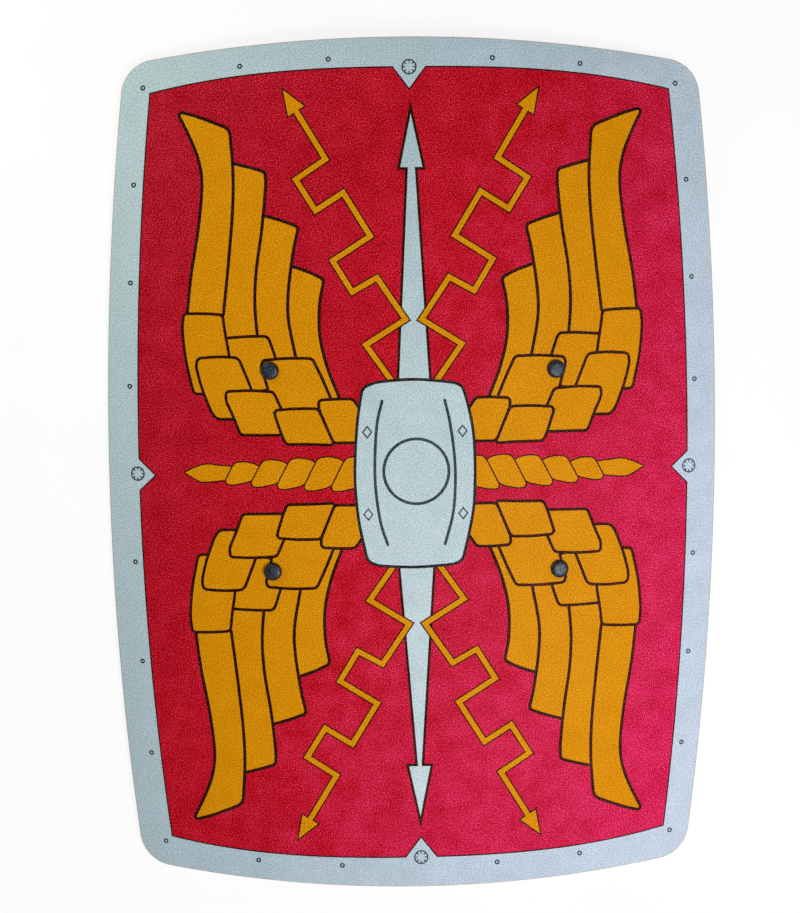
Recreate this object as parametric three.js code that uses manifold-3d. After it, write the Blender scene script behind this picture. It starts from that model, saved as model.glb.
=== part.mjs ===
// A toy Roman scutum: a thin plywood board bent about its upright axis, with two leather grip straps
// behind it and four domed rivets that hold them. It lies face up, with its two long edges on the ground.
// Millimetres. +Z is up, out of the painted face, +Y is towards the shield's top, and the origin is on the
// ground below the board's middle.
import * as THREE from "three";
import { mergeVertices } from "three/addons/utils/BufferGeometryUtils.js";
import Module from "manifold-3d";

// Board, measured as seen from the front
const HALF_WIDTH = 184.3;
const HALF_HEIGHT = 252.8;
const LONG_EDGE_RADIUS = 1850;
const SHORT_EDGE_RADIUS = 1180;
const CORNER_RADIUS = 21;
const BEND_RADIUS = 860; // of the painted face
const BOARD_THICKNESS = 4;
const FLAT_SPOT_DEPTH = 0.5; // shaved off each long edge where it meets the ground
const BEND_STEPS = 32;
const OUTLINE_ARC_STEPS = 12;

// Rivets, at both ends of each strap
const RIVET_HEIGHT = 59.9; // above and below the middle of the straps
const HEAD_RADIUS = 5.35;
const HEAD_RISE = 3.2;
const SHANK_RADIUS = 2;
const BACK_CAP_RADIUS = 4.5;
const BACK_CAP_RISE = 1.6;
const ROUND_STEPS = 24;
const DOME_STEPS = 3;

// Straps: how far each lies from the board's middle along the bend, and how much it leans
const STRAPS = [
  { sideName: "left", fromMiddle: -85, lean: 0 },
  { sideName: "right", fromMiddle: 85.7, lean: THREE.MathUtils.degToRad(1.3) }, // riveted a little askew
];
const STRAP_MIDDLE_Y = 2; // the straps sit a little above the board's middle
const STRAP_WIDTH = 24;
const STRAP_THICKNESS = 2;
const LOOP_RISE = 10; // how far the loop stands off the board
const LOOP_START = 48; // from the middle, where the strap leaves the board
const LOOP_FLAT = 25; // from the middle, where the loop reaches its full rise
const LOOP_STEPS = 8;

const CLEARANCE = 0.3; // between pieces that touch
const CUT_OVERRUN = 20; // how far a cutting solid reaches past what it cuts

// The board bends about an axis parallel to Y, this far below the ground.
const BACK_RADIUS = BEND_RADIUS - BOARD_THICKNESS;
const BEND_AXIS_Z = -FLAT_SPOT_DEPTH - Math.sqrt(BACK_RADIUS ** 2 - HALF_WIDTH ** 2);
const STRAP_FACE_RADIUS = BACK_RADIUS - CLEARANCE - STRAP_WIDTH ** 2 / (8 * BACK_RADIUS);

const painted = new THREE.MeshStandardMaterial({ color: 0xb81c34, roughness: 0.55, metalness: 0 });
const blackened = new THREE.MeshStandardMaterial({ color: 0x1c1a1b, roughness: 0.4, metalness: 0.6 });
const leather = new THREE.MeshStandardMaterial({ color: 0x6b3f22, roughness: 0.7, metalness: 0 });

const wasm = await Module();
wasm.setup();

function solidOf(geometry) {
  const bare = geometry.clone();
  bare.deleteAttribute("normal");
  bare.deleteAttribute("uv");
  const merged = mergeVertices(bare, 1e-4);
  return new wasm.Manifold(
    new wasm.Mesh({
      numProp: 3,
      vertProperties: merged.attributes.position.array,
      triVerts: new Uint32Array(merged.index.array),
    }),
  );
}

function geometryOf(solid) {
  const mesh = solid.getMesh();
  const geometry = new THREE.BufferGeometry();
  geometry.setAttribute("position", new THREE.BufferAttribute(mesh.vertProperties, 3));
  geometry.setIndex(new THREE.BufferAttribute(mesh.triVerts, 1));
  geometry.computeVertexNormals();
  return geometry;
}

// The four-sided outline: bowed long edges, bowed short edges, and corner arcs that run smoothly into both.
function boardOutline() {
  const longArcX = HALF_WIDTH - LONG_EDGE_RADIUS;
  const shortArcY = HALF_HEIGHT - SHORT_EDGE_RADIUS;
  const toLong = LONG_EDGE_RADIUS - CORNER_RADIUS;
  const toShort = SHORT_EDGE_RADIUS - CORNER_RADIUS;
  const apart = Math.hypot(longArcX, shortArcY);
  const along = (toLong ** 2 - toShort ** 2 + apart ** 2) / (2 * apart);
  const aside = Math.sqrt(toLong ** 2 - along ** 2);
  const [ux, uy] = [-longArcX / apart, shortArcY / apart];
  const cornerX = longArcX + along * ux - aside * uy;
  const cornerY = along * uy + aside * ux;
  const longAngle = Math.atan2(cornerY, cornerX - longArcX);
  const shortAngle = Math.atan2(cornerY - shortArcY, cornerX);
  const outline = new THREE.Shape();
  outline.absarc(longArcX, 0, LONG_EDGE_RADIUS, -longAngle, longAngle);
  outline.absarc(cornerX, cornerY, CORNER_RADIUS, longAngle, shortAngle);
  outline.absarc(0, shortArcY, SHORT_EDGE_RADIUS, shortAngle, Math.PI - shortAngle);
  outline.absarc(-cornerX, cornerY, CORNER_RADIUS, Math.PI - shortAngle, Math.PI - longAngle);
  outline.absarc(-longArcX, 0, LONG_EDGE_RADIUS, Math.PI - longAngle, Math.PI + longAngle);
  outline.absarc(-cornerX, -cornerY, CORNER_RADIUS, Math.PI + longAngle, Math.PI + shortAngle);
  outline.absarc(0, -shortArcY, SHORT_EDGE_RADIUS, Math.PI + shortAngle, 2 * Math.PI - shortAngle);
  outline.absarc(cornerX, -cornerY, CORNER_RADIUS, -shortAngle, -longAngle);
  return outline;
}

// A bent sheet, larger than the board, that lies around the bend axis.
function bentSheet() {
  const length = 2 * (HALF_HEIGHT + CUT_OVERRUN);
  const halfAngle = Math.asin((HALF_WIDTH + CUT_OVERRUN) / BACK_RADIUS);
  const section = new THREE.Shape();
  section.absarc(0, 0, BEND_RADIUS, Math.PI / 2 + halfAngle, Math.PI / 2 - halfAngle, true);
  section.absarc(0, 0, BACK_RADIUS, Math.PI / 2 - halfAngle, Math.PI / 2 + halfAngle);
  const sheet = new THREE.ExtrudeGeometry(section, {
    depth: length,
    bevelEnabled: false,
    curveSegments: BEND_STEPS / 2,
  });
  sheet.rotateX(Math.PI / 2);
  sheet.translate(0, length / 2, BEND_AXIS_Z);
  return sheet;
}

// A round pin square to the bent face, through the board and the strap behind it.
function rivetHole(radius, height) {
  const pin = new THREE.CylinderGeometry(radius, radius, 2 * CUT_OVERRUN, ROUND_STEPS);
  pin.rotateX(Math.PI / 2);
  pin.translate(0, height, 0);
  return pin;
}

function boardGeometry() {
  const tall = BEND_RADIUS + BEND_AXIS_Z + 2 * CUT_OVERRUN;
  const blank = new THREE.ExtrudeGeometry(boardOutline(), {
    depth: tall,
    bevelEnabled: false,
    curveSegments: OUTLINE_ARC_STEPS / 2,
  });
  blank.translate(0, 0, -CUT_OVERRUN);
  const ground = new THREE.BoxGeometry(3 * HALF_WIDTH, 3 * HALF_HEIGHT, CUT_OVERRUN);
  ground.translate(0, 0, -CUT_OVERRUN / 2);
  let board = solidOf(bentSheet()).intersect(solidOf(blank)).subtract(solidOf(ground));
  for (const { fromMiddle, lean } of STRAPS) {
    for (const end of [-1, 1]) {
      const hole = rivetHole(SHANK_RADIUS + CLEARANCE, end * RIVET_HEIGHT);
      hole.rotateZ(lean);
      hole.translate(0, STRAP_MIDDLE_Y, BEND_RADIUS);
      hole.rotateY(fromMiddle / BEND_RADIUS);
      hole.translate(0, 0, BEND_AXIS_Z);
      board = board.subtract(solidOf(hole));
    }
  }
  return geometryOf(board);
}

// Turned about the rivet's own axis; 0 is the painted face.
function rivetGeometry() {
  const capTop = STRAP_FACE_RADIUS - STRAP_THICKNESS - CLEARANCE - BEND_RADIUS;
  const profile = new THREE.Path();
  profile.moveTo(0, capTop - BACK_CAP_RISE);
  profile.absellipse(0, capTop, BACK_CAP_RADIUS, BACK_CAP_RISE, -Math.PI / 2, 0);
  profile.lineTo(SHANK_RADIUS, capTop);
  profile.lineTo(SHANK_RADIUS, CLEARANCE);
  profile.lineTo(HEAD_RADIUS, CLEARANCE);
  profile.absellipse(0, CLEARANCE, HEAD_RADIUS, HEAD_RISE, 0, Math.PI / 2);
  const rivet = new THREE.LatheGeometry(profile.getPoints(DOME_STEPS), ROUND_STEPS);
  rivet.rotateX(Math.PI / 2);
  return rivet;
}

// One strap, with 0 at its board side: flat round-ended tabs under the rivets and a raised loop between them.
function strapGeometry() {
  const end = RIVET_HEIGHT + STRAP_WIDTH / 2;
  const halfway = (LOOP_START + LOOP_FLAT) / 2;
  const line = new THREE.Path();
  line.moveTo(-end, 0);
  line.lineTo(-LOOP_START, 0);
  line.bezierCurveTo(-halfway, 0, -halfway, -LOOP_RISE, -LOOP_FLAT, -LOOP_RISE);
  line.lineTo(LOOP_FLAT, -LOOP_RISE);
  line.bezierCurveTo(halfway, -LOOP_RISE, halfway, 0, LOOP_START, 0);
  line.lineTo(end, 0);
  const boardSide = line.getPoints(LOOP_STEPS);
  const outerSide = boardSide.map((point, i) => {
    const before = boardSide[Math.max(i - 1, 0)];
    const after = boardSide[Math.min(i + 1, boardSide.length - 1)];
    const run = after.clone().sub(before).normalize();
    return new THREE.Vector2(point.x + run.y * STRAP_THICKNESS, point.y - run.x * STRAP_THICKNESS);
  });
  const band = new THREE.ExtrudeGeometry(new THREE.Shape([...boardSide, ...outerSide.reverse()]), {
    depth: STRAP_WIDTH,
    bevelEnabled: false,
  });
  band.translate(0, 0, -STRAP_WIDTH / 2);
  band.rotateX(Math.PI / 2);
  band.rotateZ(Math.PI / 2);

  const plan = new THREE.Shape();
  plan.absarc(0, RIVET_HEIGHT, STRAP_WIDTH / 2, 0, Math.PI);
  plan.absarc(0, -RIVET_HEIGHT, STRAP_WIDTH / 2, Math.PI, 2 * Math.PI);
  const tall = 2 * (LOOP_RISE + STRAP_THICKNESS);
  const roundEnds = new THREE.ExtrudeGeometry(plan, {
    depth: tall,
    bevelEnabled: false,
    curveSegments: OUTLINE_ARC_STEPS / 2,
  });
  roundEnds.translate(0, 0, -tall + STRAP_THICKNESS);

  let strap = solidOf(band).intersect(solidOf(roundEnds));
  for (const rivetEnd of [-1, 1]) {
    strap = strap.subtract(solidOf(rivetHole(SHANK_RADIUS + CLEARANCE, rivetEnd * RIVET_HEIGHT)));
  }
  return geometryOf(strap);
}

function namedMesh(name, geometry, material) {
  const mesh = new THREE.Mesh(geometry, material);
  mesh.name = name;
  return mesh;
}

const shield = new THREE.Group();
shield.add(namedMesh("shield_board", boardGeometry(), painted));

for (const { sideName, fromMiddle, lean } of STRAPS) {
  const column = new THREE.Group(); // turns about the bend axis, so that its pieces stand square to the face
  column.position.set(0, STRAP_MIDDLE_Y, BEND_AXIS_Z);
  column.rotation.set(0, fromMiddle / BEND_RADIUS, lean);
  const strap = namedMesh(`strap_${sideName}`, strapGeometry(), leather);
  strap.position.z = STRAP_FACE_RADIUS;
  column.add(strap);
  for (const [endName, end] of [["top", 1], ["bottom", -1]]) {
    const rivet = namedMesh(`rivet_${endName}_${sideName}`, rivetGeometry(), blackened);
    rivet.position.set(0, end * RIVET_HEIGHT, BEND_RADIUS);
    column.add(rivet);
  }
  shield.add(column);
}

export default shield;
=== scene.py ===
# A toy Roman scutum that lies face up: a bent plywood board with a printed face, rivets and straps.
import math

import bpy
from mathutils import Euler, Matrix, Vector
from mathutils.geometry import delaunay_2d_cdt


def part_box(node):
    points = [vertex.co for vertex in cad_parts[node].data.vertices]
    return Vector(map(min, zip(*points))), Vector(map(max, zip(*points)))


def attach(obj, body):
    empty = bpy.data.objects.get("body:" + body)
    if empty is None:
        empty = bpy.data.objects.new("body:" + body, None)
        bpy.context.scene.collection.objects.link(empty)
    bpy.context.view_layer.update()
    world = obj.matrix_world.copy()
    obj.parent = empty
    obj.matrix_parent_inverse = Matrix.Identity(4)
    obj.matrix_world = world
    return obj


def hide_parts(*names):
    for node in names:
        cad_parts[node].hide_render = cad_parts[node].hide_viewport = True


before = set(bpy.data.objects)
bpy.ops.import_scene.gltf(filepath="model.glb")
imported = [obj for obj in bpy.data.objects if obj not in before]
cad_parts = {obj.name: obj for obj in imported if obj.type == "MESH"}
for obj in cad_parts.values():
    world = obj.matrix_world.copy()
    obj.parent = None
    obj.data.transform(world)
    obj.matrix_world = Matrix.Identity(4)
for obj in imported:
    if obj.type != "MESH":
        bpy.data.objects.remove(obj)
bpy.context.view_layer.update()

# Sizes are in millimetres, and the frame is in metres.
MM = 0.001
FULL_TURN = 2 * math.pi
SQUARE_TURN = math.pi / 2

# The four mirror images of a quarter, counterclockwise from the upper right.
QUARTERS = ((1, 1), (-1, 1), (-1, -1), (1, -1))

# The board, as seen from the front. Its edge is sanded round, and shows a core between two face plies.
_, board_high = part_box("shield_board")
HALF_WIDTH = board_high.x / MM
HALF_HEIGHT = board_high.y / MM
CROWN_HEIGHT = board_high.z / MM
LONG_EDGE_RADIUS = 1850
SHORT_EDGE_RADIUS = 1180
CORNER_RADIUS = 21
BEND_RADIUS = 860
THICKNESS = 4
BACK_RADIUS = BEND_RADIUS - THICKNESS
BEND_AXIS_Z = CROWN_HEIGHT - BEND_RADIUS
FACE_PLY = 1.1
EDGE_ROUNDING = 0.5
EDGE_ROUNDING_STEPS = 4
LONG_EDGE_STEPS = 72
SHORT_EDGE_STEPS = 60
CORNER_STEPS = 12

# Rivets and straps, which sit a little above the board's middle. A strap's place is how far it lies
# from the middle along the bend, and how much it leans.
STRAP_PLACES = {"left": (-85, 0), "right": (85.7, math.radians(1.3))}
STRAP_MIDDLE_Y = 2
RIVET_HEIGHT = 59.9
TOUCH_GAP = 0.3
HEAD_RADIUS = 5.35
HEAD_RISE = 3.2
HEAD_SEAT = 0.3
HEAD_SQUARENESS = 0.55
SHANK_RADIUS = 2.0
CAP_RADIUS = 4.5
CAP_RISE = 1.6
DOME_STEPS = 14
ROUND_STEPS = 64
STRAP_WIDTH = 24
STRAP_THICKNESS = 2
STRAP_FACE_RADIUS = BACK_RADIUS - TOUCH_GAP - STRAP_WIDTH ** 2 / (8 * BACK_RADIUS)
STRAP_EDGE = 0.6
STRAP_EDGE_STEPS = 3
LOOP_RISE = 10
LOOP_START = 48
LOOP_FLAT = 25
LOOP_FLAT_STEPS = 4
LOOP_STEPS = 20
END_STEPS = 16

# The print went on a little askew: its turn, and its middle's place on the board. Its curves are
# drawn in short steps.
PRINT_TURN = math.radians(0.365)
PRINT_SHIFT = (0.49, 0.87)
CURVE_STEP = 1.6

# Widths of the pen lines, and how strongly the inks are speckled: the red and the lines, and the rest.
FEATHER_PEN = 1.95
COVERT_PEN = 1.8
BOSS_PEN = 1.75
SPEAR_PEN = 1.6
STUD_PEN = 0.92
FINE_PEN = 0.82
PETAL_PEN = 0.75
SPECKLE = 0.2
SOFT_SPECKLE = 0.14

# The camera looks almost straight down. Its place is in millimetres and its turn in degrees.
CAMERA_PLACE = (-22.64, 73.5, 730.0)
CAMERA_TURN = (-5.056, -1.175, -0.375)
LENS = 47.32


# Colours and nodes

def linear(hex_colour):
    """An sRGB hex colour as linear red, green, blue and alpha."""
    parts = [int(hex_colour[i:i + 2], 16) / 255 for i in (1, 3, 5)]
    return [p / 12.92 if p <= 0.04045 else ((p + 0.055) / 1.055) ** 2.4 for p in parts] + [1.0]


def add_node(material, kind, settings=None, inputs=None, colours=None):
    """Adds a node to a material or a world, with its settings, with a value or a link on each input named,
    and with its colours, each a position from 0 to 1 and a hex colour."""
    node = material.node_tree.nodes.new(kind)
    for name, value in (settings or {}).items():
        setattr(node, name, value)
    for name, value in (inputs or {}).items():
        if isinstance(value, bpy.types.NodeSocket):
            material.node_tree.links.new(value, node.inputs[name])
        else:
            node.inputs[name].default_value = value
    for i, (position, colour) in enumerate(colours or ()):
        stops = node.color_ramp.elements
        stop = stops[i] if i < len(stops) else stops.new(1.0)
        stop.position = position
        stop.color = linear(colour)
    return node


def new_material(name):
    """An empty node material, and the object's own coordinates in it."""
    material = bpy.data.materials.new(name)
    material.use_nodes = True
    material.node_tree.nodes.clear()
    return material, add_node(material, "ShaderNodeTexCoord").outputs["Object"]


def per_metre(size_mm):
    """A noise scale whose blotches are about this many millimetres across."""
    return 1 / (size_mm * MM)


# Materials

def printed_ink(name, colours, painted_light_slope=(2.2, -0.7, 0), speckle=SPECKLE, cloudiness=0.16):
    """Screen-printed matt ink on plywood, with painted light and sheen: its colour shifts across the sheet
    from the first colour, the most shaded, to the last, the most lit, growing lighter where the slope
    points, and it has soft clouds and fine light and dark specks. Its shader has hardly any sheen. The
    slope argument says how fast the painted light moves the colour towards the lit end along X and Y, for
    each metre. The speckle is how strong the specks are, and the cloudiness how strong the clouds are
    beside them."""
    material, place = new_material(name)
    clouds = add_node(material, "ShaderNodeTexNoise", inputs={
        "Vector": place, "Scale": per_metre(14), "Detail": 3.0, "Roughness": 0.6})
    patches = add_node(material, "ShaderNodeMapRange", inputs={
        "Value": clouds.outputs["Fac"], "To Min": 0.3, "To Max": 0.7})
    # Painted light and sheen: a slope across the face that moves the colour towards its lit end.
    across = add_node(material, "ShaderNodeVectorMath", {"operation": "DOT_PRODUCT"}, {
        0: place, 1: painted_light_slope})
    # Random cloudy tone, plus the painted light and sheen of the slope.
    clouds_and_painted_light = add_node(material, "ShaderNodeMath", {"operation": "ADD"}, {
        0: patches.outputs["Result"], 1: across.outputs["Value"]})
    colour = add_node(material, "ShaderNodeValToRGB", inputs={"Fac": clouds_and_painted_light.outputs["Value"]},
                      colours=zip((0.0, 0.42, 1.0), colours))
    # The specks are a little coarser than the real ones, which would be too fine to see. They are as
    # strong to the eye in a dark ink as in a light one, so they are added to the colour's square root.
    # Both noises lie about a half, so the specks darken the ink as much as they lighten it.
    stipple = add_node(material, "ShaderNodeTexNoise", {"noise_dimensions": "2D"}, {
        "Vector": place, "Scale": per_metre(0.7), "Detail": 1.0})
    mottle = add_node(material, "ShaderNodeMath", {"operation": "MULTIPLY_ADD"}, {
        0: clouds.outputs["Fac"], 1: cloudiness, 2: stipple.outputs["Fac"]})
    specks = add_node(material, "ShaderNodeMapRange", inputs={
        "Value": mottle.outputs["Value"], "From Min": 0.2 + cloudiness / 2, "From Max": 0.8 + cloudiness / 2,
        "To Min": -speckle, "To Max": speckle})
    root = add_node(material, "ShaderNodeGamma", inputs={"Color": colour.outputs["Color"], "Gamma": 0.5})
    # The mix node's colours go in at its sockets 6 and 7, and come out at socket 2.
    speckled = add_node(material, "ShaderNodeMix", {
        "data_type": "RGBA", "blend_type": "ADD", "clamp_result": True}, {
        0: 1.0, 6: root.outputs["Color"], 7: specks.outputs["Result"]})
    ink = add_node(material, "ShaderNodeGamma", inputs={"Color": speckled.outputs[2], "Gamma": 2.0})
    grain = add_node(material, "ShaderNodeMapping", inputs={"Vector": place, "Scale": (1.0, 0.06, 1.0)})
    fibres = add_node(material, "ShaderNodeTexNoise", inputs={
        "Vector": grain.outputs["Vector"], "Scale": per_metre(1.6), "Detail": 2.0})
    bump = add_node(material, "ShaderNodeBump", inputs={
        "Height": fibres.outputs["Fac"], "Strength": 0.1, "Distance": 0.3 * MM})
    shader = add_node(material, "ShaderNodeBsdfPrincipled", inputs={
        "Base Color": ink.outputs["Color"], "Normal": bump.outputs["Normal"],
        "Roughness": 0.5, "IOR": 1.46, "Specular IOR Level": 0.03})
    add_node(material, "ShaderNodeOutputMaterial", inputs={"Surface": shader.outputs["BSDF"]})
    return material


def birch_veneer(name):
    """Sanded rotary-cut birch: pale straw wood with long soft figure along the board and fine darker
    pores."""
    material, place = new_material(name)
    along = add_node(material, "ShaderNodeMapping", inputs={"Vector": place, "Scale": (1.0, 0.09, 1.0)})
    figure = add_node(material, "ShaderNodeTexNoise", inputs={
        "Vector": along.outputs["Vector"], "Scale": per_metre(16), "Detail": 5.0, "Distortion": 1.2})
    streaks = add_node(material, "ShaderNodeMapping", inputs={"Vector": place, "Scale": (1.0, 0.03, 1.0)})
    pores = add_node(material, "ShaderNodeTexNoise", inputs={
        "Vector": streaks.outputs["Vector"], "Scale": per_metre(1.3), "Detail": 3.0})
    tone = add_node(material, "ShaderNodeMath", {"operation": "MULTIPLY_ADD"}, {
        0: pores.outputs["Fac"], 1: 0.5, 2: figure.outputs["Fac"]})
    colour = add_node(material, "ShaderNodeValToRGB", inputs={"Fac": tone.outputs["Value"]},
                      colours=((0.5, "#bb9263"), (0.72, "#d2ae7e"), (0.95, "#e4c99c")))
    bump = add_node(material, "ShaderNodeBump", inputs={
        "Height": pores.outputs["Fac"], "Strength": 0.2, "Distance": 0.4 * MM})
    shader = add_node(material, "ShaderNodeBsdfPrincipled", inputs={
        "Base Color": colour.outputs["Color"], "Normal": bump.outputs["Normal"], "Roughness": 0.6})
    add_node(material, "ShaderNodeOutputMaterial", inputs={"Surface": shader.outputs["BSDF"]})
    return material


def sanded_edge(name, shadow, body, light):
    """A sawn and sanded plywood edge: short fibre ends, browner than the face and quite matt."""
    material, place = new_material(name)
    fibres = add_node(material, "ShaderNodeTexNoise", inputs={
        "Vector": place, "Scale": per_metre(0.9), "Detail": 3.0, "Roughness": 0.7})
    colour = add_node(material, "ShaderNodeValToRGB", inputs={"Fac": fibres.outputs["Fac"]},
                      colours=((0.3, shadow), (0.5, body), (0.75, light)))
    bump = add_node(material, "ShaderNodeBump", inputs={
        "Height": fibres.outputs["Fac"], "Strength": 0.3, "Distance": 0.3 * MM})
    shader = add_node(material, "ShaderNodeBsdfPrincipled", inputs={
        "Base Color": colour.outputs["Color"], "Normal": bump.outputs["Normal"], "Roughness": 0.75})
    add_node(material, "ShaderNodeOutputMaterial", inputs={"Surface": shader.outputs["BSDF"]})
    return material


def blackened_steel(name):
    """Pressed steel with a black oxide finish: almost black, with a blurred metallic glint, and worn to a
    fine mottle."""
    material, place = new_material(name)
    wear = add_node(material, "ShaderNodeTexNoise", inputs={
        "Vector": place, "Scale": per_metre(1.2), "Detail": 4.0, "Roughness": 0.65})
    colour = add_node(material, "ShaderNodeValToRGB", inputs={"Fac": wear.outputs["Fac"]},
                      colours=((0.35, "#1f2226"), (0.5, "#363b41"), (0.68, "#5a6169")))
    rough = add_node(material, "ShaderNodeMapRange", inputs={
        "Value": wear.outputs["Fac"], "From Min": 0.3, "From Max": 0.75, "To Min": 0.44, "To Max": 0.54})
    shader = add_node(material, "ShaderNodeBsdfPrincipled", inputs={
        "Base Color": colour.outputs["Color"], "Roughness": rough.outputs["Result"], "Metallic": 1.0})
    add_node(material, "ShaderNodeOutputMaterial", inputs={"Surface": shader.outputs["BSDF"]})
    return material


def tanned_leather(name, shadow, body, light, roughness):
    """Vegetable-tanned cowhide: warm brown with cloudy tone, a pebbled grain and a dull sheen."""
    material, place = new_material(name)
    clouds = add_node(material, "ShaderNodeTexNoise", inputs={
        "Vector": place, "Scale": per_metre(11), "Detail": 4.0})
    colour = add_node(material, "ShaderNodeValToRGB", inputs={"Fac": clouds.outputs["Fac"]},
                      colours=((0.3, shadow), (0.5, body), (0.75, light)))
    pebbles = add_node(material, "ShaderNodeTexVoronoi", inputs={"Vector": place, "Scale": per_metre(0.9)})
    bump = add_node(material, "ShaderNodeBump", inputs={
        "Height": pebbles.outputs["Distance"], "Strength": 0.35, "Distance": 0.3 * MM})
    shader = add_node(material, "ShaderNodeBsdfPrincipled", inputs={
        "Base Color": colour.outputs["Color"], "Normal": bump.outputs["Normal"], "Roughness": roughness})
    add_node(material, "ShaderNodeOutputMaterial", inputs={"Surface": shader.outputs["BSDF"]})
    return material


def opal_acrylic(name):
    """An opal acrylic light table, lit from below: an even, very pale glow on which hardly a shadow
    shows."""
    material, place = new_material(name)
    haze = add_node(material, "ShaderNodeTexNoise", inputs={
        "Vector": place, "Scale": per_metre(60), "Detail": 2.0})
    colour = add_node(material, "ShaderNodeValToRGB", inputs={"Fac": haze.outputs["Fac"]},
                      colours=((0.3, "#6a6a6a"), (0.7, "#6e6e6e")))
    shader = add_node(material, "ShaderNodeBsdfPrincipled", inputs={
        "Base Color": colour.outputs["Color"], "Roughness": 0.9, "Specular IOR Level": 0.1,
        "Emission Color": linear("#ffffff"), "Emission Strength": 0.83})
    add_node(material, "ShaderNodeOutputMaterial", inputs={"Surface": shader.outputs["BSDF"]})
    return material


# Each ink's colours run from shaded to lit. The lit end is painted light and sheen, spread by the slope
# towards the lower right and the bottom: the red turns pinker there, and the pale ink bluer and lighter.
INKS = {
    "pale": printed_ink("pale_blue_grey_ink", ("#adc1c3", "#a5b8c0", "#b5c3d1"), speckle=SOFT_SPECKLE),
    "silver": printed_ink("silver_grey_ink", ("#a1b6bc", "#aec2c5", "#b9c9ce"), painted_light_slope=(0.3, -2.3, 0),
                          speckle=SOFT_SPECKLE),
    "red": printed_ink("madder_red_ink", ("#a3081f", "#b0051c", "#c31a4d"), painted_light_slope=(2.2, -0.9, 0),
                       cloudiness=0.21),
    "ochre": printed_ink("ochre_ink", ("#c88400", "#c88400", "#c98300"), speckle=SOFT_SPECKLE),
    "black": printed_ink("brown_black_line_ink", ("#260600", "#290700", "#40160a")),
    "charcoal": printed_ink("charcoal_line_ink", ("#231c1d", "#251e20", "#2d2528")),
    "slate": printed_ink("slate_line_ink", ("#18262b", "#2d3c42", "#3c4a52")),
}
WOOD_EDGE = sanded_edge("sanded_ply_edge", "#8f8372", "#a89b88", "#bcb09d")
WOOD_CORE = sanded_edge("ply_core_edge", "#6d4d2f", "#85613e", "#9a7450")
WOOD_BACK = birch_veneer("birch_veneer")
BOARD_FINISHES = [*INKS.values(), WOOD_EDGE, WOOD_CORE, WOOD_BACK]
STEEL = blackened_steel("blackened_steel")
LEATHER = tanned_leather("strap_leather", "#4a2a16", "#6e4223", "#8a5930", 0.6)
LEATHER_EDGE = tanned_leather("burnished_leather_edge", "#2c170c", "#3f2313", "#52301b", 0.45)
LIGHT_TABLE = opal_acrylic("opal_acrylic")


# Lines, in millimetres on a flat sheet

def curve_through(points):
    """A smooth line through the points, sampled finely."""
    points = [Vector(p) for p in points]
    if len(points) == 2:
        return points
    before = [2 * points[0] - points[1], *points]
    after = [*points[1:], 2 * points[-1] - points[-2]]
    line = []
    for i in range(len(points) - 1):
        here, there = points[i], points[i + 1]
        leave = (there - before[i]) / 2
        arrive = (after[i + 1] - here) / 2
        steps = max(2, round((there - here).length / CURVE_STEP))
        for k in range(steps):
            t = k / steps
            line.append(here * (2 * t ** 3 - 3 * t ** 2 + 1) + leave * (t ** 3 - 2 * t ** 2 + t)
                        + there * (3 * t ** 2 - 2 * t ** 3) + arrive * (t ** 3 - t ** 2))
    return [*line, points[-1]]


def arc(centre, radius, start, end, steps):
    """Points round a circle, from one angle to another."""
    turns = [start + (end - start) * k / steps for k in range(steps + 1)]
    return [Vector((centre[0] + radius * math.cos(a), centre[1] + radius * math.sin(a))) for a in turns]


def circle(centre, radius, steps):
    """Points all round a circle."""
    return arc(centre, radius, 0, FULL_TURN, steps)[:-1]


def drawn_outline(*sides, corner=2.2):
    """A closed line of several sides with arcs for corners, each as long as the corner says on both
    sides. A side is a smooth curve through its points, and starts where the last one ended."""
    sides = [[Vector(p) for p in side] for side in sides]
    line = []
    for i, side in enumerate(sides):
        points = [sides[i - 1][-1], *side]
        start = points[0] + (points[1] - points[0]).normalized() * corner
        end = points[-1] + (points[-2] - points[-1]).normalized() * corner
        line += curve_through([start, *points[1:-1], end])
        turn = points[-1]
        leave = turn + (sides[(i + 1) % len(sides)][0] - turn).normalized() * corner
        pull = (end - leave).length / (2 * corner)
        for t in (0.2, 0.4, 0.6, 0.8):
            parts = ((1 - t) ** 2, 2 * pull * t * (1 - t), t ** 2)
            line.append((end * parts[0] + turn * parts[1] + leave * parts[2]) / sum(parts))
    return line


def counterclockwise(line):
    """The closed line, turned round if it runs clockwise."""
    line = [Vector(p) for p in line]
    area = sum(a.x * b.y - b.x * a.y for a, b in zip(line, [*line[1:], line[0]]))
    return line if area > 0 else line[::-1]


def nearest_on(spot, start, end):
    """The point of a straight stretch that is nearest to the spot."""
    run = end - start
    share = max(0.0, min(1.0, (spot - start).dot(run) / max(run.length_squared, 1e-9)))
    return start + run * share


def moved_out(line, distance):
    """A closed counterclockwise line moved outwards, or inwards by a minus distance, with mitred corners.
    Points that would cross over in a tight corner are left out."""
    sharpest, neighbours, nearly_all = 0.2, 8, 0.98
    count = len(line)
    moved = []
    for i, here in enumerate(line):
        into = (here - line[i - 1]).normalized()
        away = (line[(i + 1) % count] - here).normalized()
        square = Vector((into.y + away.y, -into.x - away.x)).normalized()
        spot = here + square * (distance / max(sharpest, square.dot(Vector((into.y, -into.x)))))
        near = [line[(i + k) % count] for k in range(-neighbours, neighbours + 1)]
        gaps = [(spot - nearest_on(spot, a, b)).length for a, b in zip(near, near[1:])]
        if min(gaps) > nearly_all * abs(distance):
            moved.append(spot)
    return moved


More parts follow.
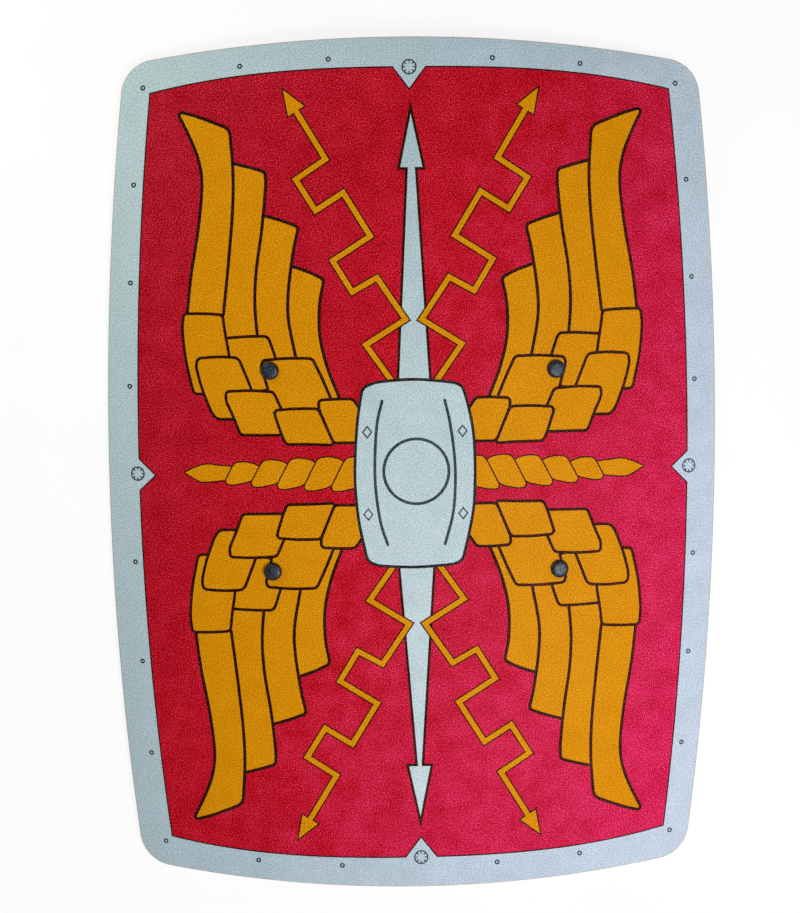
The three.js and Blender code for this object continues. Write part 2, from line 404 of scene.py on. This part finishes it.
def band(line, width):
    """A closed line all round an open line, at half the width on each side."""
    line = [Vector(p) for p in line]
    left, right = [], []
    for i, here in enumerate(line):
        into = (here - line[i - 1]).normalized() if i else (line[1] - here).normalized()
        away = (line[i + 1] - here).normalized() if i + 1 < len(line) else into
        square = Vector((into.y + away.y, -into.x - away.x)).normalized()
        reach = width / 2 / square.dot(Vector((into.y, -into.x)))
        right.append(here + square * reach)
        left.append(here - square * reach)
    return [*right, *left[::-1]]


def mirrored(line, across, up):
    """The line in another quarter."""
    return [(p[0] * across, p[1] * up) for p in line]


def all_round(quarter, lean=0):
    """A closed line of a quarter and its mirror images. The last two points of each quarter may lean to
    one side at the top, and to the other at the bottom."""
    line = []
    for across, up in QUARTERS:
        part = mirrored(quarter, across, up)
        for k in (-1, -2):
            part[k] = (part[k][0] - lean * up, part[k][1])
        line += (part if across * up > 0 else part[::-1])[:-1]
    return [Vector(p) for p in line]


# The print, painted in order: what comes later lies on top

print_layers = []


def paint(line, ink):
    """Lays an area of ink on the print."""
    print_layers.append((counterclockwise(line), ink))


def paint_outlined(line, ink, pen, pen_ink="black"):
    """Lays an area of ink with a pen line round it."""
    line = counterclockwise(line)
    paint(moved_out(line, pen / 2), pen_ink)
    paint(moved_out(line, -pen / 2), ink)


def red_panel():
    """The red field: bowed sides, fuller ends, sharp corners, and a notch in the middle of each side."""
    side, end, corner = 166.8, 234.9, (153, 223.9)
    notch, side_tip, end_tip, tip_half = 9.6, 156.6, 222.3, 0.4
    side_fullness, end_fullness, steps = 2, 2.8, 24
    quarter = [(side_tip, tip_half)]
    for k in range(steps + 1):
        v = notch + (corner[1] - notch) * k / steps
        quarter.append((side - (side - corner[0]) * (v / corner[1]) ** side_fullness, v))
    for k in range(1, steps + 1):
        u = corner[0] + (notch - corner[0]) * k / steps
        quarter.append((u, end - (end - corner[1]) * (u / corner[0]) ** end_fullness))
    quarter.append((0, end_tip))
    paint_outlined(all_round(quarter, lean=0.9), "red", FINE_PEN)


def rim_studs():
    """Small rings along the rim, and a ring with petal marks behind each notch."""
    stud_radius, stud_steps, flower_radius, flower_steps = 1.1, 14, 4.0, 32
    petals, petal_start, petal_end = 8, 3.8, 2.3
    studs = ((157.2, 227.3), (164.7, 171.7), (168.7, 114.5), (171.2, 53.2), (98.8, 237.2), (47.3, 239.8))
    flowers = ((-0.9, 234.9), (168, 0.6), (0.8, -235.1), (-167.9, 0.6))
    for stud in studs:
        for across, up in QUARTERS:
            place = mirrored([stud], across, up)[0]
            paint_outlined(circle(place, stud_radius, stud_steps), "pale", STUD_PEN, "slate")
    for place in flowers:
        paint_outlined(circle(place, flower_radius, flower_steps), "pale", FINE_PEN, "slate")
        outer = arc(place, petal_start, 0, FULL_TURN, petals)
        inner = arc(place, petal_end, 0, FULL_TURN, petals)
        for k in range(petals):
            paint(band([outer[k], inner[k]], PETAL_PEN), "slate")


def spear():
    """A spear up and down the middle, whose shaft widens towards the boss, the lower one a little more."""
    head_half, shoulder, boss_edge = 7.4, 177.4, 50
    for up, lean, tip, neck, foot in ((1, -0.3, 212.3, 2.8, 9.9), (-1, 0.7, 213.4, 1.9, 11)):
        half = [(0, tip), (head_half, shoulder), (neck, shoulder), (foot, boss_edge)]
        whole = half + mirrored(half[:0:-1], -1, 1)
        paint_outlined([(u + lean * v / tip, v * up) for u, v in whole], "silver", SPEAR_PEN)


def bolts():
    """A zigzag thunderbolt with an arrowhead in each quarter."""
    zigzag = [(66.3, 210.6), (49.9, 183.4), (67.5, 172.1), (56.3, 154.1), (40, 164.1), (24.6, 139),
              (46.8, 125.1), (35.7, 106.9), (21.1, 114.9), (4.7, 90.6), (28.2, 76), (9.9, 50)]
    width, head_half, head_length = 3.9, 6, 15.8
    sides = band(zigzag, width)
    root = Vector(zigzag[0])
    aim = (root - Vector(zigzag[1])).normalized()
    square = Vector((aim.y, -aim.x))
    head = [root + square * head_half, root + aim * head_length, root - square * head_half]
    for across, up in QUARTERS:
        paint_outlined(mirrored([*sides, *head], across, up), "ochre", FINE_PEN)


def horns():
    """Two twisted horns that reach out to the sides, each turn overlapping the next."""
    tip = drawn_outline([(118, 5.8), (124, 6.6), (131, 5), (139.2, 1.4)],
                        [(130, -3.8), (125, -4.5), (112, -3.3)], [(106, 4.9)], corner=1.0)
    turns = [(108.9, 7.9, 113.9, -6.1), (91.7, 9.1, 98.3, -7.5), (75.1, 9.9, 82.7, -8.9),
             (58.5, 10.5, 66.6, -9.9), (42, 10.4, 50.4, -10.3)]
    for across in (1, -1):
        paint_outlined(mirrored(tip, across, 1), "ochre", FINE_PEN)
        for top_u, top, bottom_u, bottom in turns:
            turn = drawn_outline(
                [(top_u - 15, top - 2.2), (top_u - 8, top - 0.2), (top_u - 2.2, top - 0.4)],
                [(top_u + 0.3, top - 3), (bottom_u - 0.2, bottom + 2.6)],
                [(bottom_u - 1.6, bottom + 0.3), (bottom_u - 6, bottom), (bottom_u - 14, bottom + 1.6)],
                [(top_u - 21, 0)], corner=1.0)
            paint_outlined(mirrored(turn, across, 1), "ochre", FINE_PEN)


def wings():
    """Four wings of long square-ended feathers and overlapping rounded coverts. The lower wings spread
    wider."""
    feathers = [
        drawn_outline([(80, 125.4)], [(62, 119.2), (52.2, 114.5)],
                      [(55, 99), (55, 81), (51, 63), (43.8, 44)], [(80, 44)]),
        drawn_outline([(98, 155)], [(78, 149.2), (66.6, 145)],
                      [(70, 130), (73.2, 108), (73.4, 91), (69, 66)], [(98, 66)]),
        drawn_outline([(116, 185.2)], [(96, 180), (85.5, 176.9)],
                      [(85.6, 167), (88.2, 144), (92, 120), (93.2, 100), (91.8, 78)], [(118, 78)]),
        drawn_outline([(131.2, 118), (126, 146), (123.3, 171), (125.4, 186), (130.5, 199), (137.5, 213.2)],
                      [(126, 209.9), (115, 205.6), (106, 201.9)],
                      [(104.6, 178), (105.2, 157), (108, 129), (112.5, 92)], [(134.8, 90)], corner=3.8),
    ]
    coverts = [
        drawn_outline([(98, 81.8), (86.1, 81.8)], [(84, 76.5), (76, 52)], [(114, 46)], [(116, 80.8)]),
        drawn_outline([(124, 95.6), (136.4, 95.8)], [(137.2, 85), (135.6, 68), (131.4, 48.3)], [(108, 48)],
                      [(109.3, 70), (111.4, 84), (112.7, 94.8)]),
        drawn_outline([(75, 68.7), (59.8, 68.5)], [(54, 56.1), (46.5, 38)], [(84, 36)],
                      [(86.7, 51), (89.9, 63), (89.8, 67.7)]),
        drawn_outline([(116, 70.1), (129.2, 69.4)],
                      [(129.2, 62.8), (126.3, 51.5), (121.6, 39), (118.4, 33.2)],
                      [(100, 33)], [(94.5, 46)], [(103.8, 69.5)], corner=3),
        drawn_outline([(98, 50), (112, 49.6)], [(111.6, 43.4), (108, 35.1), (103.6, 23.6)], [(76, 23.4)],
                      [(76, 32), (83.3, 49.2)]),
        drawn_outline([(70, 39), (82.9, 38.2)], [(82.6, 35), (79.5, 25.2), (76.6, 18)],
                      [(62, 17.8), (47.6, 17.2)], [(52.3, 28.5), (56.9, 38.9)]),
        drawn_outline([(45, 44.5), (36.2, 44.4)], [(30, 35)], [(30, 18.6)], [(48.2, 18.5)],
                      [(53, 30), (56.3, 38.4), (56.7, 43.9)]),
    ]
    spread_start, upper_spread, lower_spread = 85, -0.003, 0.0145
    for across, up in QUARTERS:
        spread = upper_spread if up > 0 else lower_spread
        for shape in feathers:
            fanned = [(u + spread * max(0, v - spread_start), v) for u, v in shape]
            paint_outlined(mirrored(fanned, across, up), "ochre", FEATHER_PEN)
        for shape in coverts:
            paint_outlined(mirrored(shape, across, up), "ochre", COVERT_PEN)


def boss():
    """The boss in the middle, drawn by hand: a bowed plate with a ring, two long side lines and four
    diamonds."""
    plate = drawn_outline([(31.9, -35), (34.7, -19), (35.5, 2), (34.8, 22), (32.3, 37), (28.3, 52.1)],
                          [(20, 53.8), (0, 55.5), (-20, 54.3), (-30.6, 51.5)],
                          [(-33.7, 32), (-35.5, 10), (-35.6, -10), (-33.6, -30), (-28.9, -53.2)],
                          [(-20, -55.3), (0, -56.2), (20, -55), (27.5, -53.4)], corner=4)
    side_lines = ([(17.8, 43), (20.7, 30), (23.1, 12), (23.7, -5), (22.2, -24), (17.3, -42.5)],
                  [(-19.1, 43), (-22.2, 30), (-23.7, 12), (-23.7, -8), (-21, -29), (-16.9, -42.5)])
    ring_middle, ring_radius, ring_steps, line_end_steps = (0.6, 1.1), 19.3, 72, 12
    diamond_half_width, diamond_half_height = 2.6, 3.3
    paint_outlined(plate, "silver", BOSS_PEN, "charcoal")
    paint_outlined(circle(ring_middle, ring_radius, ring_steps), "silver", BOSS_PEN, "slate")
    for side_line in side_lines:
        paint(band(curve_through(side_line), BOSS_PEN), "slate")
        for end in side_line[0], side_line[-1]:
            paint(circle(end, BOSS_PEN / 2, line_end_steps), "slate")
    for u in (28.2, -28.2):
        for v in (24.7, -24.3):
            diamond = [(u + diamond_half_width, v), (u, v + diamond_half_height),
                       (u - diamond_half_width, v), (u, v - diamond_half_height)]
            paint_outlined(diamond, "silver", FINE_PEN, "slate")


red_panel()
rim_studs()
spear()
bolts()
horns()
wings()
boss()


# The board

def mesh_piece(name, points, facets, materials, finishes=None):
    """A smooth-shaded mesh object from points in millimetres. The finishes say which material each facet
    has."""
    mesh = bpy.data.meshes.new(name)
    mesh.from_pydata([Vector(p) * MM for p in points], [], facets)
    for material in materials:
        mesh.materials.append(material)
    if finishes:
        mesh.polygons.foreach_set("material_index", finishes)
    mesh.polygons.foreach_set("use_smooth", [True] * len(mesh.polygons))
    mesh.update()
    piece = bpy.data.objects.new(name, mesh)
    bpy.context.scene.collection.objects.link(piece)
    return piece


def front_height(x):
    """How high the printed face lies at this distance from the middle."""
    return BEND_AXIS_Z + math.sqrt(BEND_RADIUS ** 2 - x ** 2)


def back_height(x):
    """How high the back lies; the long edges are flat where they rest on the ground."""
    return max(0.0, BEND_AXIS_Z + math.sqrt(BACK_RADIUS ** 2 - x ** 2))


def on_board(point):
    """Where a point of the flat print lies on the bent board, seen from the front."""
    u = point[0] * math.cos(PRINT_TURN) - point[1] * math.sin(PRINT_TURN) + PRINT_SHIFT[0]
    v = point[0] * math.sin(PRINT_TURN) + point[1] * math.cos(PRINT_TURN) + PRINT_SHIFT[1]
    return Vector((BEND_RADIUS * math.sin(u / BEND_RADIUS), v))


def board_outline(inset):
    """The board's outline, moved in by the inset: bowed sides and ends, and corner arcs that run smoothly
    into both."""
    side_radius = LONG_EDGE_RADIUS - inset
    end_radius = SHORT_EDGE_RADIUS - inset
    corner_radius = CORNER_RADIUS - inset
    side_x = HALF_WIDTH - inset - side_radius
    end_y = HALF_HEIGHT - inset - end_radius
    to_side = side_radius - corner_radius
    to_end = end_radius - corner_radius
    apart = math.hypot(side_x, end_y)
    along = (to_side ** 2 - to_end ** 2 + apart ** 2) / (2 * apart)
    aside = math.sqrt(to_side ** 2 - along ** 2)
    corner = ((-along * side_x - aside * end_y) / apart + side_x, (along * end_y - aside * side_x) / apart)
    side_turn = math.atan2(corner[1], corner[0] - side_x)
    end_turn = math.atan2(corner[1] - end_y, corner[0])
    quarter = arc((side_x, 0), side_radius, 0, side_turn, LONG_EDGE_STEPS // 2)[:-1]
    quarter += arc(corner, corner_radius, side_turn, end_turn, CORNER_STEPS)[:-1]
    quarter += arc((0, end_y), end_radius, end_turn, SQUARE_TURN, SHORT_EDGE_STEPS // 2)
    return all_round(quarter)


def cut_face(outline, layers):
    """Cuts a flat face along every printed line, and along the bend so that it can curve. Gives its
    points, its facets, the top layer on each facet, and the outline's points in order."""
    triangles_inside, same_point = 1, 1e-5
    points = [p.copy() for p in outline]
    areas = [list(range(len(outline)))]
    for line, _ in layers:
        areas.append(list(range(len(points), len(points) + len(line))))
        points += [on_board(p) for p in line]
    bends = []
    for i, p in enumerate(outline):
        if p.y > 0 and abs(p.x) < HALF_WIDTH - CORNER_RADIUS:
            opposite = Vector((p.x, -p.y))
            bends.append((i, min(range(len(outline)), key=lambda j: (outline[j] - opposite).length)))
    cut = delaunay_2d_cdt(points, bends, areas, triangles_inside, same_point)
    found, _, facets, sources, _, owners = cut
    new_index = {}
    for new, old in enumerate(sources):
        for o in old:
            new_index[o] = new
    return found, facets, [max(o) for o in owners], [new_index[i] for i in range(len(outline))]


def edge_rings():
    """The rings round the board's edge, from the face to the back: how far in, how deep as a share of the
    thickness, and the finish above it."""
    rounding = []
    for k in range(EDGE_ROUNDING_STEPS + 1):
        turn = SQUARE_TURN * k / EDGE_ROUNDING_STEPS
        inset, deep = EDGE_ROUNDING * (1 - math.sin(turn)), EDGE_ROUNDING * (1 - math.cos(turn))
        rounding.append((inset, deep / THICKNESS))
    rings = [(inset, depth, WOOD_EDGE) for inset, depth in rounding[1:]]
    rings += [(0, FACE_PLY / THICKNESS, WOOD_EDGE), (0, 1 - FACE_PLY / THICKNESS, WOOD_CORE)]
    rings += [(inset, 1 - depth, WOOD_EDGE) for inset, depth in rounding[::-1]]
    return rings


def shield_board():
    """One closed mesh: the printed face, the rounded and sanded plywood edge, and the bare back."""
    ink_names = list(INKS)
    inks = ["pale"] + [ink for _, ink in print_layers]
    inset = board_outline(EDGE_ROUNDING)
    face_points, face_facets, tops, last_ring = cut_face(inset, print_layers)
    points = [(p.x, p.y, front_height(p.x)) for p in face_points]
    facets = [list(f) for f in face_facets]
    finishes = [ink_names.index(inks[top]) for top in tops]

    for ring_inset, depth, finish in edge_rings():
        ring = []
        for p in board_outline(ring_inset):
            high, low = front_height(p.x), back_height(p.x)
            ring.append(len(points))
            points.append((p.x, p.y, high + (low - high) * depth))
        for k in range(len(ring)):
            facets.append([last_ring[k], last_ring[k - 1], ring[k - 1], ring[k]])
            finishes.append(BOARD_FINISHES.index(finish))
        last_ring = ring

    back_points, back_facets, _, back_ring = cut_face(inset, [])
    place = dict(zip(back_ring, last_ring))
    for index, p in enumerate(back_points):
        if index not in place:
            place[index] = len(points)
            points.append((p.x, p.y, back_height(p.x)))
    for facet in back_facets:
        facets.append([place[i] for i in reversed(facet)])
        finishes.append(BOARD_FINISHES.index(WOOD_BACK))
    return mesh_piece("printed_board", points, facets, BOARD_FINISHES, finishes)


# Rivets and straps

def in_column(point, strap_place):
    """Where a point of a strap or of its rivets lies: they stand square to the bent board."""
    from_middle, lean = strap_place
    turn = Matrix.Rotation(from_middle / BEND_RADIUS, 3, "Y") @ Matrix.Rotation(lean, 3, "Z")
    return turn @ Vector(point) + Vector((0, STRAP_MIDDLE_Y, BEND_AXIS_Z))


def rivet_profile():
    """Half the rivet's section, as radius and distance from the bend's axis: a low head with a rounded
    shoulder, the shank, and the cap behind the strap."""
    cap_seat = STRAP_FACE_RADIUS - STRAP_THICKNESS
    profile = []
    for k in range(DOME_STEPS + 1):
        turn = SQUARE_TURN * k / DOME_STEPS
        profile.append((HEAD_RADIUS * math.sin(turn) ** HEAD_SQUARENESS,
                        BEND_RADIUS + HEAD_SEAT + HEAD_RISE * max(0, math.cos(turn)) ** HEAD_SQUARENESS))
    profile += [(HEAD_RADIUS, BEND_RADIUS), (SHANK_RADIUS, BEND_RADIUS)]
    profile += [(SHANK_RADIUS, cap_seat), (CAP_RADIUS, cap_seat)]
    for k in range(1, DOME_STEPS + 1):
        turn = SQUARE_TURN * k / DOME_STEPS
        profile.append((CAP_RADIUS * math.cos(turn), cap_seat - CAP_RISE * math.sin(turn)))
    return profile


def rivet(name, strap_place, height):
    """A rivet turned from its profile, at a height from the middle of its strap."""
    profile = rivet_profile()
    points = [in_column((0, height, profile[0][1]), strap_place)]
    for radius, far in profile[1:-1]:
        for spot in circle((0, height), radius, ROUND_STEPS):
            points.append(in_column((spot.x, spot.y, far), strap_place))
    points.append(in_column((0, height, profile[-1][1]), strap_place))
    facets = []
    last = len(points) - 1
    for k in range(ROUND_STEPS):
        after = (k + 1) % ROUND_STEPS
        facets.append([0, 1 + k, 1 + after])
        for ring in range(len(profile) - 3):
            first = 1 + ring * ROUND_STEPS
            facets.append([first + after, first + k, first + ROUND_STEPS + k, first + ROUND_STEPS + after])
        facets.append([last, last - ROUND_STEPS + after, last - ROUND_STEPS + k])
    return mesh_piece(name, points, facets, [STEEL])


def strap_stations():
    """The strap's stations from the middle to one end: distance along, rise off the board, and half
    width."""
    half_width = STRAP_WIDTH / 2
    stations = [(LOOP_FLAT * k / LOOP_FLAT_STEPS, LOOP_RISE, half_width) for k in range(LOOP_FLAT_STEPS)]
    halfway = (LOOP_START + LOOP_FLAT) / 2
    for k in range(LOOP_STEPS + 1):
        t = k / LOOP_STEPS
        along = LOOP_FLAT * (1 - t) ** 3 + 3 * halfway * (t - t * t) + LOOP_START * t ** 3
        stations.append((along, LOOP_RISE * (1 - t) ** 2 * (1 + 2 * t), half_width))
    for k in range(END_STEPS):
        turn = SQUARE_TURN * k / END_STEPS
        stations.append((RIVET_HEIGHT + half_width * math.sin(turn), 0, half_width * math.cos(turn)))
    return stations


def strap(name, strap_place):
    """A leather strap with flat round-ended tabs, a raised loop to grip, and rounded, burnished edges."""
    half = strap_stations()
    stations = [(-along, rise, width) for along, rise, width in half[:0:-1]] + half
    turns = [SQUARE_TURN * k / STRAP_EDGE_STEPS for k in range(STRAP_EDGE_STEPS + 1)]
    points, facets, finishes = [], [], []
    for i, (along, rise, width) in enumerate(stations):
        before = stations[max(i - 1, 0)]
        after = stations[min(i + 1, len(stations) - 1)]
        run = Vector((after[0] - before[0], before[1] - after[1])).normalized()
        rounding = min(STRAP_EDGE, width / 2)
        section = [(width - rounding * (1 - math.sin(a)), rounding * (1 - math.cos(a))) for a in turns]
        section += [(u, STRAP_THICKNESS - deep) for u, deep in section[::-1]]
        section += [(-u, deep) for u, deep in section[::-1]]
        for u, deep in section:
            spot = (u, along + deep * run.y, STRAP_FACE_RADIUS - rise - deep * run.x)
            points.append(in_column(spot, strap_place))
    size = len(section)
    for i in range(len(stations) - 1):
        for k in range(size):
            after = (k + 1) % size
            facets.append([i * size + k, i * size + after, (i + 1) * size + after, (i + 1) * size + k])
            finishes.append(0 if after % (size // 2) == 0 else 1)
    facets += [list(range(size))[::-1], [(len(stations) - 1) * size + k for k in range(size)]]
    finishes += [1, 1]
    return mesh_piece(name, points, facets, [LEATHER, LEATHER_EDGE], finishes)


def dress(piece, node):
    """Puts a piece in the place of its CAD node."""
    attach(piece, "root")
    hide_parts(node)


dress(shield_board(), "shield_board")
for side, strap_place in STRAP_PLACES.items():
    dress(strap(f"leather_strap_{side}", strap_place), f"strap_{side}")
    for end, height in (("top", RIVET_HEIGHT), ("bottom", -RIVET_HEIGHT)):
        steel_rivet = rivet(f"steel_rivet_{end}_{side}", strap_place, height)
        dress(steel_rivet, f"rivet_{end}_{side}")


# Floor, light and camera

def pale_floor(reach):
    """A wide, evenly glowing table that the shield lies on."""
    corners = [(across * reach, up * reach, 0) for across, up in QUARTERS]
    mesh_piece("floor", corners, [[0, 1, 2, 3]], [LIGHT_TABLE])


def soft_light(name, place, aim, size, power, colour):
    """A large square lamp at a place, in metres, that faces its aim."""
    lamp = bpy.data.lights.new(name, "AREA")
    lamp.size = size
    lamp.energy = power
    lamp.color = linear(colour)[:3]
    holder = bpy.data.objects.new(name, lamp)
    holder.location = place
    holder.rotation_euler = (Vector(aim) - Vector(place)).to_track_quat("-Z", "Y").to_euler()
    bpy.context.scene.collection.objects.link(holder)


def room_light(dim, bright, far_wall):
    """Pale light from all round, brighter towards the lower right, with white walls low down and far
    off."""
    world = bpy.data.worlds.new("pale_room")
    world.use_nodes = True
    sky = world.node_tree.nodes["Background"]
    towards = add_node(world, "ShaderNodeTexCoord").outputs["Generated"]
    facing = add_node(world, "ShaderNodeVectorMath", {"operation": "DOT_PRODUCT"}, {
        0: towards, 1: (0.8, -0.6, 0)})
    glow = add_node(world, "ShaderNodeMapRange", inputs={
        "Value": facing.outputs["Value"], "From Min": -1, "From Max": 1, "To Min": dim, "To Max": bright})
    height = add_node(world, "ShaderNodeSeparateXYZ", inputs={"Vector": towards})
    wall = add_node(world, "ShaderNodeMapRange", inputs={
        "Value": height.outputs["Z"], "From Min": 0.05, "From Max": 0.4, "To Min": far_wall, "To Max": 0})
    strength = add_node(world, "ShaderNodeMath", {"operation": "MAXIMUM"}, {
        0: glow.outputs["Result"], 1: wall.outputs["Result"]})
    sky.inputs["Color"].default_value = linear("#f8fdfc")
    world.node_tree.links.new(strength.outputs["Value"], sky.inputs["Strength"])
    bpy.context.scene.world = world


def photo_camera():
    """The camera over the shield. Colours are rendered as they are, with no film curve."""
    camera = bpy.data.objects.new("camera", bpy.data.cameras.new("camera"))
    camera.location = Vector(CAMERA_PLACE) * MM
    camera.rotation_euler = Euler([math.radians(a) for a in CAMERA_TURN], "XYZ")
    camera.data.lens = LENS
    camera.data.clip_start = 10 * MM
    bpy.context.scene.collection.objects.link(camera)
    bpy.context.scene.camera = camera
    bpy.context.scene.view_settings.view_transform = "Standard"


pale_floor(reach=30000)
room_light(dim=0.21, bright=0.42, far_wall=0.95)
soft_light("lamp_overhead", place=(0.28, -0.22, 0.82), aim=(0, 0, 0), size=0.4, power=6.6, colour="#fffafe")
soft_light("lamp_upper_left", place=(-0.32, 0.29, 0.2), aim=(-0.12, 0.2, 0), size=0.25, power=0.34,
           colour="#fffff4")
photo_camera()
